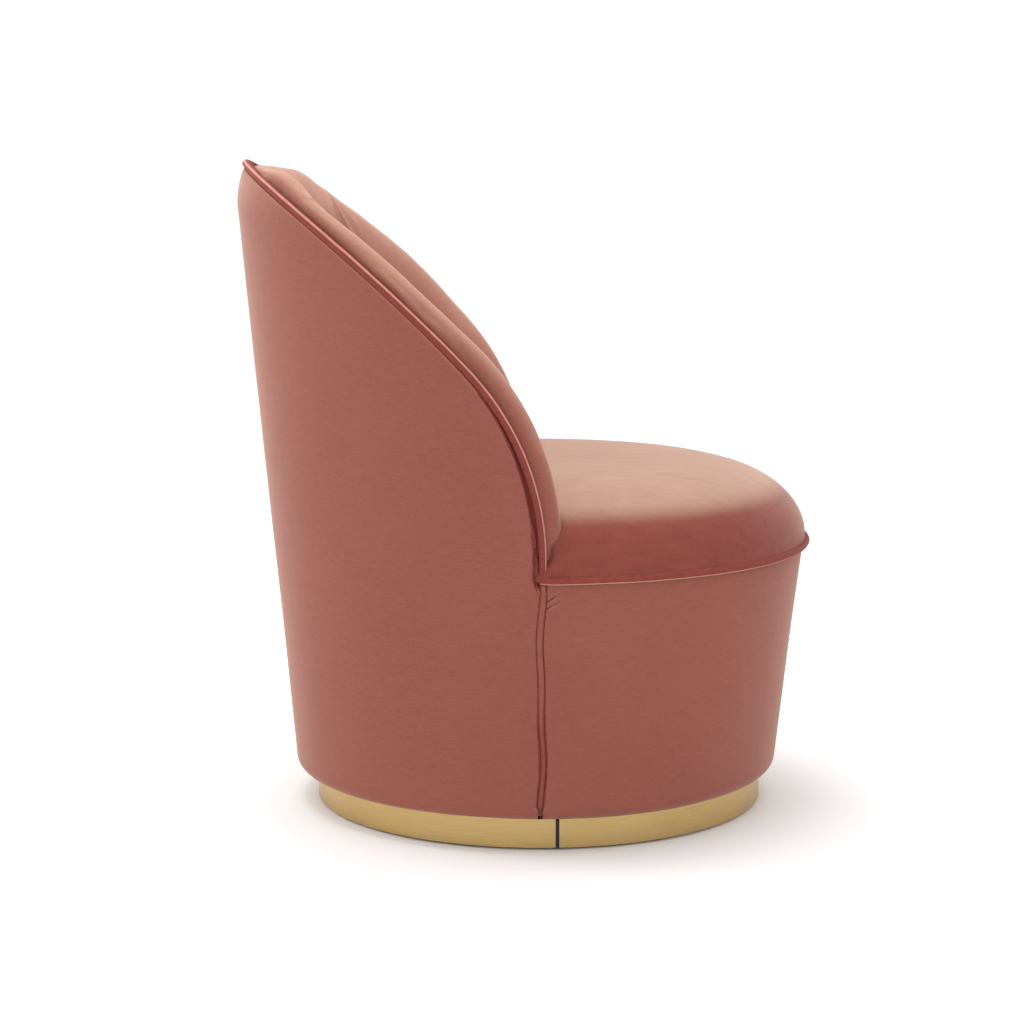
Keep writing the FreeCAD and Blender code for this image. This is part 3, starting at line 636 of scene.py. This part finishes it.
def front_border():
    """Cover under the seat welt, from one side seam round the front to the other."""
    z0 = BOTTOM_Z + BOTTOM_ROUND
    z_end = SEAM_Z - 0.0032
    length = z_end - z0
    near_seam = RIM_STEPS / BORDER_WIDTH
    across = np.concatenate([near_seam, np.linspace(near_seam[-1], 0.5, 105)[1:]])
    across = np.concatenate([across, 1.0 - across[:-1][::-1]])
    fine = np.linspace(0.052, RIM_STEPS[-1], 52)
    from_rim = np.concatenate([np.linspace(length, fine[0], 52, endpoint=False), fine, RIM_STEPS[::-1][1:]])
    t = 1.0 - from_rim / length
    z = z0 + length * t
    start = seam_angle(z) + seam_half(z) / body_radius(z)
    grid = []
    depth = []
    for u in across:
        angle = start + (2 * math.pi - 2 * start) * u
        distance = np.minimum(angle - start, 2 * math.pi - start - angle) * body_radius(z)
        sign = 1.0 if u < 0.5 else -1.0
        wander = sign * seam_wander(z) * np.exp(-distance / 0.03)
        # two short puckers run up and forward from the seam, just under the seat welt
        pucker = 0.0
        for drop, reach, rise, dent in PUCKERS:
            line = SEAM_Z - drop + rise * distance
            fade = (1.0 - smooth(distance, reach * 0.4, reach)) * smooth(distance, -0.001, 0.002)
            pucker = pucker + dent * fade * np.exp(-((z - line) / PUCKER_WIDTH) ** 2)
        inset = seam_dip(distance, z) + pucker + 0.7 * round_over((1.0 - t) * length, 0.006)
        body = place(angle + wander / body_radius(z), z, inset)
        tuck = np.linspace(0.0, 1.0, 5)[1:]
        hem = place(np.full(len(tuck), angle[-1]), z_end + 0.002 * tuck, 0.0042 + 0.007 * tuck)
        grid.append(np.concatenate([turned_under(1.0, angle[0]), body, hem]))
        # how deep each point lies, for the painted shade; the puckers count for less
        shaded = inset - 0.35 * pucker
        depth.append(np.concatenate([np.zeros(UNDER_STEPS + CORNER_STEPS), shaded, np.ones(len(tuck))]))
    obj = grid_mesh("front_border_velvet", cloth_ripple(np.array(grid), 9))
    return shade_creases(fix_normals(thicken(obj, CLOTH_T)), np.array(depth))


def side_seam(sign):
    """A folded strip down the joint of the two covers: proud at the top, sunk into a fold lower down."""
    z = np.linspace(BOTTOM_Z + 0.004, SEAM_TOP, 170)
    across = np.linspace(-1.0, 1.0, 17)
    corner = np.clip(BOTTOM_Z + BOTTOM_ROUND - z, 0.0, BOTTOM_ROUND)
    turn_in = BOTTOM_ROUND - np.sqrt(BOTTOM_ROUND ** 2 - corner ** 2)
    lift = 0.0022 * smooth(z, SEAM_TOP - 0.012, SEAM_TOP)
    grid = np.zeros((len(z), len(across), 3))
    for j, a in enumerate(across):
        proud = 0.0004 + 0.0034 * abs(a) ** 3.5
        deep = 0.0058 - 0.0010 * (1.0 - a * a)
        inset = proud * (1.0 - sunk(z)) + deep * sunk(z) + turn_in + lift
        angle = seam_angle(z) + (a * (seam_half(z) + 0.0004) + seam_wander(z)) / body_radius(z)
        grid[:, j] = place(sign * angle, z, inset)
    name = "side_seam_velvet_right" if sign > 0 else "side_seam_velvet_left"
    return fix_normals(thicken(grid_mesh(name, grid), STRIP_T))


# ---- welts -----------------------------------------------------------------------------------
LIT_SIDES = (14, 15)               # faces of each ring of a welt that get the painted highlight, counted from the outermost point
WELT_UNEVEN = 0.05                 # change of a welt's radius along it


def paint_welt_highlight(obj):
    """A welt in a dark copy of its velvet as painted shade, with a painted highlight on two faces in each
    ring where it turns over its edge.
    """
    obj.data.materials.append(VELVET_WELT_SHADED)
    obj.data.materials.append(VELVET_WELT_LIT)
    for face in obj.data.polygons:
        if len(face.vertices) == 4 and face.index % TUBE_SIDES in LIT_SIDES:
            face.material_index = 1
    return obj


def back_edge_welt():
    """Cord along the back edge, from the right side seam over the top to the left one."""
    half = np.linspace(0.0, EDGE_LEN, 360)
    angle, z = edge_at(half)
    inset = welt_inset(angle)
    z = z + profile_drop(angle, z, inset - WELT_INSET) * 0.6
    right = place(angle, z, inset)
    # the foot dives in behind the seat welt and the top of the side seam
    tail_z = np.linspace(SEAM_Z - 0.014, SEAM_Z, 8, endpoint=False)
    tail = place(seam_angle(tail_z), tail_z, WELT_INSET + 0.0065 * ((SEAM_Z - tail_z) / 0.014) ** 1.5)
    right = np.concatenate([tail, right])
    left = right * np.array([-1.0, 1.0, 1.0])
    centres = np.concatenate([right, left[::-1][1:]])
    out = centres - np.stack([0 * centres[:, 0], axis_y(centres[:, 2]), centres[:, 2]], -1)
    centres[:, 2] += 0.0003 * value_noise(centres, 30.0, 6)
    radius = WELT_R * (1.0 + WELT_UNEVEN * value_noise(centres, 60.0, 5))
    return paint_welt_highlight(tube("back_edge_piping", centres, out, radius))


def seat_welt():
    """Cord round the front of the seat; its ends draw in where they meet the back edge's welt."""
    start = np.arccos(SEAM_Y / SEAT_R) - 0.006
    angle = np.linspace(start, 2 * math.pi - start, 520)
    yc = axis_y(SEAM_Z)
    from_end = np.minimum(angle - start, 2 * math.pi - start - angle) * SEAT_R
    r = SEAT_R + 0.0005 - 0.0055 * (1.0 - smooth(from_end, 0.0, 0.016))
    centres = np.stack([r * np.sin(angle), yc + r * np.cos(angle), np.full(len(angle), SEAM_Z)], -1)
    out = centres - np.array([0.0, yc, SEAM_Z])
    centres[:, 2] += 0.0006 * value_noise(centres, 9.0, 11)
    radius = WELT_R * (1.0 + WELT_UNEVEN * value_noise(centres, 60.0, 12))
    return paint_welt_highlight(tube("seat_piping", centres, out, radius))


# ---- padded inside back ----------------------------------------------------------------------
ROLL_SECTION = [                   # depth under the cloth, share of the crest's rise, extra rise (mm)
    (8.5, 0.0, -9.0), (9.0, 0.0, -2.0), (10.5, 0.40, 0.0), (15.0, 0.74, 0.0), (23.0, 0.94, 0.0),
    (33.0, 1.0, 0.0), (44.0, 0.92, -0.5), (55.0, 0.62, -4.0), (63.5, 0.22, -12.0), (69.0, 0.0, -26.0),
    (71.5, 0.0, -42.0), (72.0, 0.0, -60.0),
]
CREST = ((0, 14), (12, 20), (20, 28), (28, 38), (34, 38), (44, 35), (56, 36), (66, 33), (78, 29), (90, 23.5))
LEAN_IN = 0.0036                   # the left side's roll lies this much lower, the right side's higher
BACK_DEPTH = 0.0345                # depth of a pad's hidden back
VALLEY = 0.0040                    # depth of the dip where two panels are sewn together
PAD_LOW_Z = 0.385                  # the inside face goes down to here, behind the seat
ROLL_ROWS = 42                     # mesh rows over the roll, down the face, and behind
FACE_ROWS = 48
FACE_NARROWS = 0.93                # a side panel's face closes up to this share of its angle at the bottom
FACE_PULL = 0.8                    # how far the face carries on the way the roll ends
FACE_BULGE = 0.004
HIDDEN_ROWS = 14
PAD_CAP = 0.0022                   # the most that a point moves when the pads and the seat swell
SEAT_CAP = 0.002


def crest_rise(angle, z, signs):
    """Rise of the roll over the back edge; CREST gives it by degrees from the middle, in mm."""
    fine = np.linspace(-12.0, 102.0, 229)
    rise = np.interp(fine, [c[0] for c in CREST], [c[1] for c in CREST])
    soft = np.convolve(rise, np.hanning(19) / np.hanning(19).sum(), mode="same")
    side = LEAN_IN * signs * smooth(angle, 24 * DEG, 40 * DEG) * smooth(angle, 74 * DEG, 58 * DEG)
    return (np.interp(angle / DEG, fine, soft) * MM + side) * smooth(z, SEAM_Z - 0.010, SEAM_Z + 0.027)


def catmull(values, count):
    """Even samples of a smooth curve through a list of rows."""
    pts = np.array(values, float)
    pts = np.vstack([2 * pts[0] - pts[1], pts, 2 * pts[-1] - pts[-2]])
    steps = len(values) - 1
    out = []
    for x in np.linspace(0, steps, count):
        i = min(int(x), steps - 1)
        t = x - i
        p0, p1, p2, p3 = pts[i:i + 4]
        out.append(0.5 * (2 * p1 + (p2 - p0) * t + (2 * p0 - 5 * p1 + 4 * p2 - p3) * t * t
                          + (3 * p1 - p0 - 3 * p2 + p3) * t ** 3))
    return np.array(out)


def roll_rows(angle_e, z_e, rise, from_seam, welt_shift):
    """(angle, level, depth) rows over the roll, from the welt to the top of the inside face."""
    slope = np.interp(angle_e, EDGE_A[::-1], EDGE_SLOPE[::-1])
    beta = slope * smooth(angle_e, PANEL_SEAM, 76 * DEG)
    upright = 1.0 / np.maximum(np.cos(slope - beta), 0.35)
    valley = VALLEY * (0.60 * np.exp(-from_seam / 0.009) + 0.40 * np.exp(-(from_seam / 0.045) ** 2))
    rows = []
    for depth, share, extra in catmull(ROLL_SECTION, ROLL_ROWS):
        h = share * rise + extra * MM - valley * smooth(depth, 8.5, 26.0) * (1.0 if share > 0 else 0.3)
        w = depth * MM + welt_shift * (1.0 - smooth(depth, 8.5, 44.0)) - valley * smooth(depth, 40.0, 68.0)
        angle = angle_e + h * np.sin(beta) / (body_radius(z_e) - w)
        z = z_e + h * np.cos(beta) * upright + profile_drop(angle_e, z_e, w)
        rows.append((angle, z, w))
    return rows


def face_rows(before, start, angle_e, from_seam):
    """Rows down the inside face: a curve that leaves the roll's last two rows without a kink."""
    a_in, z_in, w_in = start
    step_a = a_in - before[0]
    step_z = z_in - before[1]
    z_low = np.minimum(PAD_LOW_Z, z_in - 0.004)
    a_low = np.where(angle_e > PANEL_SEAM, PANEL_SEAM + (angle_e - PANEL_SEAM) * FACE_NARROWS, angle_e)
    scale = (z_in - z_low + 1e-6) / np.maximum(np.hypot(step_a * 0.3, step_z), 1e-5)
    rows = []
    for t in np.linspace(0.0, 1.0, FACE_ROWS + 1)[1:]:
        h00 = 2 * t ** 3 - 3 * t ** 2 + 1
        h10 = t ** 3 - 2 * t ** 2 + t
        h01 = -2 * t ** 3 + 3 * t ** 2
        h11 = t ** 3 - t ** 2
        angle = h00 * a_in + h10 * step_a * scale * FACE_PULL + h01 * a_low
        z = h00 * z_in + h10 * step_z * scale * FACE_PULL + h01 * z_low + h11 * (z_low - z_in)
        bulge = FACE_BULGE * math.sin(math.pi * min(t * 1.1, 1.0)) * smooth(from_seam, 0.0, 0.10)
        rows.append((angle, z, w_in + bulge))
    return rows


def hidden_rows(start, angle_e, z_e, welt_shift):
    """Rows up the hidden back of a panel, from the bottom of its face to the welt."""
    a_b, z_b, _ = start
    rows = []
    for t in np.linspace(0.0, 1.0, HIDDEN_ROWS):
        angle = a_b + (angle_e - a_b) * t
        z = np.minimum(z_b + (z_e - 0.016 - z_b) * t, z_e - 0.010)
        hidden = BACK_DEPTH + (0.0125 + 0.7 * welt_shift - BACK_DEPTH) * smooth(t, 0.85, 1.0)
        rows.append((angle, z + profile_drop(angle_e, z_e, welt_shift) * t, hidden))
    return rows


def pad_panel(name, s, signs):
    """One panel of the padded back: roll over the edge, inside face down behind the seat, closed."""
    angle_e, z_e = edge_at(s)
    from_seam = np.abs(s - S_SEAM)
    welt_shift = welt_inset(angle_e) - WELT_INSET
    rows = roll_rows(angle_e, z_e, crest_rise(angle_e, z_e, signs), from_seam, welt_shift)
    rows += face_rows(rows[-2], rows[-1], angle_e, from_seam)
    face_end = len(rows)
    rows += hidden_rows(rows[-1], angle_e, z_e, welt_shift)
    grid = np.zeros((len(s), len(rows), 3))
    for j, (angle, z, w) in enumerate(rows):
        grid[:, j] = place(signs * angle, z, w)
    obj = fix_normals(grid_mesh(name, grid, wrap_v=True, cap_u=True))
    # sewn along the welt, both panel seams and the hidden back
    nu, nv = grid.shape[:2]
    pinned = [i * nv + j for i in range(nu) for j in range(nv)
              if i < 2 or i > nu - 3 or j < 3 or j >= face_end - 1]
    return inflate(obj, pinned + [nu * nv, nu * nv + 1], cap=PAD_CAP)


def seam_samples(low, high, count, dense_low, dense_high):
    """Arc lengths from low to high, closer together near a sewn seam."""
    near = np.array([0.0, 0.0008, 0.0020, 0.0036, 0.0058, 0.0086, 0.0122])
    middle = np.linspace(low + near[-1] * dense_low, high - near[-1] * dense_high, count)
    left = low + near[:-1] if dense_low else np.array([])
    right = (high - near[:-1])[::-1] if dense_high else np.array([])
    return np.concatenate([left, middle, right])


def side_panel(name, sign):
    """Panel from the foot of a side to its panel seam; sign 1 is the right side."""
    s = seam_samples(0.004, S_SEAM, 84, 0, 1)
    return pad_panel(name, s, np.full(len(s), sign))


def centre_panel(name):
    """Panel between the two panel seams."""
    half = seam_samples(S_SEAM, EDGE_LEN, 52, 1, 0)
    s = np.concatenate([half, half[::-1][1:]])
    return pad_panel(name, s, np.where(np.arange(len(s)) < len(half), -1.0, 1.0))


# ---- seat ------------------------------------------------------------------------------------
FACE_LEVEL = 0.42                  # level at which the seat meets the inside back
NOTCH_START = 87.5 * DEG           # the seat starts to narrow this far from the middle of the back
NOTCH_LEAN = 4.5 * DEG             # and this much further forward at its top
NOTCH_TURN = 12.0 * DEG            # it narrows over this much of its rim
RIM_LEVEL = SEAM_Z + 0.040         # the outline of the seat's top is that of this level
TUCK_DROP = 0.006                  # the top rolls down by this much against the inside back
TUCK_REACH = 0.010


def crown_height(depth):
    """Height of the crowned seat over the welt, this far in from its rim."""
    share = np.clip(depth, 0.0, CROWN_SPAN) / CROWN_SPAN
    return CROWN_RISE * (1.0 - (1.0 - share) ** CROWN_N) ** (1.0 / CROWN_M)


def crown_radius(z):
    """Radius of the crown's side at a level."""
    share = 1.0 - (1.0 - np.clip((z - SEAM_Z) / CROWN_RISE, 0.0, 1.0) ** CROWN_M) ** (1.0 / CROWN_N)
    return SEAT_R - CROWN_SPAN * share


def notch_radius(turn, z):
    """The seat narrows to the inside back's face, behind the foot of each wing."""
    face = body_radius(FACE_LEVEL) - PAD_FACE + 0.002
    start = NOTCH_START + NOTCH_LEAN * smooth(z, SEAM_Z - 0.006, SEAM_Z + 0.030)
    return face + (SEAT_R - face) * smooth(turn, start - NOTCH_TURN, start)


def seat_top():
    """Crowned seat cushion, closed: top, side wall down to the welt, underside."""
    half = np.concatenate([np.linspace(0, 76, 34, endpoint=False), np.linspace(76, 96, 44, endpoint=False),
                           np.linspace(96, 180, 50)]) * DEG
    turn = np.concatenate([half, (2 * math.pi - half[1:-1])[::-1]])
    folded = np.minimum(turn, 2 * math.pi - turn)
    yc = axis_y(SEAM_Z)
    rim = np.full(len(turn), SEAM_Z)
    r_edge = notch_radius(folded, RIM_LEVEL)
    tucked = smooth(SEAT_R - r_edge, 0.002, 0.02)
    rows = []
    for share in np.linspace(0.0, 1.0, 90) ** 0.55:
        r = r_edge * share
        near_back = np.clip(1.0 - (r_edge - r) / TUCK_REACH, 0.0, 1.0)
        drop = TUCK_DROP * tucked * (1.0 - np.sqrt(1.0 - near_back ** 2))
        rows.append((r, SEAM_Z + crown_height(SEAT_R - r) - drop))
    z_top = rows[-1][1]
    for t in np.linspace(0.0, 1.0, 12)[1:]:
        z = z_top + (rim - z_top) * t
        wall = np.minimum(crown_radius(z), notch_radius(folded, z))
        rows.append((np.where(t < 1.0, wall, np.minimum(SEAT_R, notch_radius(folded, SEAM_Z))), z))
    r_rim = rows[-1][0]
    sewn_from = len(rows) - 1
    for drop, share in ((0.003, 0.985), (0.006, 0.96), (0.0065, 0.6), (0.0065, 0.1)):
        rows.append((r_rim * share, rim - drop))
    grid = np.zeros((len(turn), len(rows), 3))
    for j, (r, z) in enumerate(rows):
        grid[:, j] = np.stack([r * np.sin(turn), yc + r * np.cos(turn), z], -1)
    flat = np.linalg.norm(grid[..., :2], axis=-1)
    on_top = smooth(flat, 0.34, 0.27) * (grid[..., 2] > SEAM_Z + 0.03)
    grid[..., 2] += value_noise(grid, 4.0, 21) * 0.0014 * on_top
    return grid, sewn_from


def closed_disc(name, grid):
    """Mesh of a grid [turn, ring]: ring 0 is one point, the last ring is closed by one point below."""
    nu, nv = grid.shape[:2]
    inner = grid[:, 1:].reshape(-1, 3)
    width = nv - 1
    verts = np.vstack([inner, grid[0, 0], grid[:, -1].mean(axis=0)])
    top, low = nu * width, nu * width + 1
    faces = []
    for i in range(nu):
        k = (i + 1) % nu
        faces.append((i * width, k * width, top))
        faces.append((k * width + width - 1, i * width + width - 1, low))
        for j in range(width - 1):
            faces.append((i * width + j, k * width + j, k * width + j + 1, i * width + j + 1))
    return fix_normals(mesh_object(name, verts, faces))


def seat_cushion():
    """The seat's cover over its foam, sewn down along the rim."""
    grid, sewn_from = seat_top()
    obj = closed_disc("seat_velvet", grid)
    width = grid.shape[1] - 1
    pinned = [i * width + j for i in range(len(grid)) for j in range(sewn_from - 2, width)]
    return inflate(obj, pinned + [len(grid) * width + 1], cap=SEAT_CAP)


# ---- build -----------------------------------------------------------------------------------
paint_cad_nodes()
finish_piece(outside_back(), "velvet", VELVET, "outside_back_cover")
finish_piece(front_border(), "velvet", VELVET, "front_border_cover")
finish_piece(back_edge_welt(), "velvet", VELVET_WELT_SHADED, "back_edge_welt")
finish_piece(seat_welt(), "velvet", VELVET_WELT_SHADED, "seat_welt")
finish_piece(side_seam(1.0), "velvet", VELVET, "side_seam_right")
finish_piece(side_seam(-1.0), "velvet", VELVET, "side_seam_left")
pads = [
    finish_piece(side_panel("inside_back_right", 1.0), "velvet", VELVET, "inside_back_pad_right"),
    finish_piece(side_panel("inside_back_left", -1.0), "velvet", VELVET, "inside_back_pad_left"),
    finish_piece(centre_panel("inside_back_centre"), "velvet", VELVET, "inside_back_pad_centre"),
]
seat = finish_piece(seat_cushion(), "velvet", VELVET_SEAT, "seat_cover", "seat_foam")


# ---- stage, light and camera -----------------------------------------------------------------
LENS_MM = 89.107
SENSOR_MM = 36.0
CAMERA_AT = (-3.19354, 0.20324, 0.84098)
CAMERA_TARGET = (0.0, 0.0345, 0.3639)


def stage():
    """Plain pale floor and an even white surround."""
    size = 8.0
    ys = np.linspace(-size, size, 3)
    floor = grid_mesh("floor", np.array([[[x, y, 0.0] for y in ys] for x in ys]))
    material, tree, bsdf, coords = new_material("pale_floor")
    tone = noise_node(tree, coords, 2.0, 2.0, 0.5)
    colour = ramp(tree, tone, [(0.0, (0.93, 0.93, 0.93)), (1.0, (0.95, 0.95, 0.95))])
    tree.links.new(colour, bsdf.inputs["Base Color"])
    bsdf.inputs["Roughness"].default_value = 0.9
    floor.data.materials.append(material)
    world = bpy.data.worlds.new("studio")
    bpy.context.scene.world = world
    world.use_nodes = True
    world.node_tree.nodes["Background"].inputs["Color"].default_value = (1.0, 1.0, 1.0, 1.0)
    world.node_tree.nodes["Background"].inputs["Strength"].default_value = 1.06
    bpy.context.scene.view_settings.view_transform = "Standard"


def area_light(name, location, target, size, power):
    data = bpy.data.lights.new(name, "AREA")
    data.shape = "RECTANGLE"
    data.size = size[0]
    data.size_y = size[1]
    data.energy = power
    light = bpy.data.objects.new(name, data)
    light.location = location
    light.rotation_euler = (Vector(target) - Vector(location)).to_track_quat("-Z", "Y").to_euler()
    bpy.context.scene.collection.objects.link(light)


def camera():
    data = bpy.data.cameras.new("camera")
    data.sensor_width = SENSOR_MM
    data.lens = LENS_MM
    cam = bpy.data.objects.new("camera", data)
    cam.location = CAMERA_AT
    cam.rotation_euler = (Vector(CAMERA_TARGET) - cam.location).to_track_quat("-Z", "Y").to_euler()
    bpy.context.scene.collection.objects.link(cam)
    bpy.context.scene.camera = cam


stage()
area_light("top", (0.3, 0.3, 3.0), (0, 0, 0.4), (2.2, 2.2), 45.0)
area_light("rim", (0.6, 2.8, 1.8), (0, 0.2, 0.5), (1.2, 2.0), 20.0)
camera()
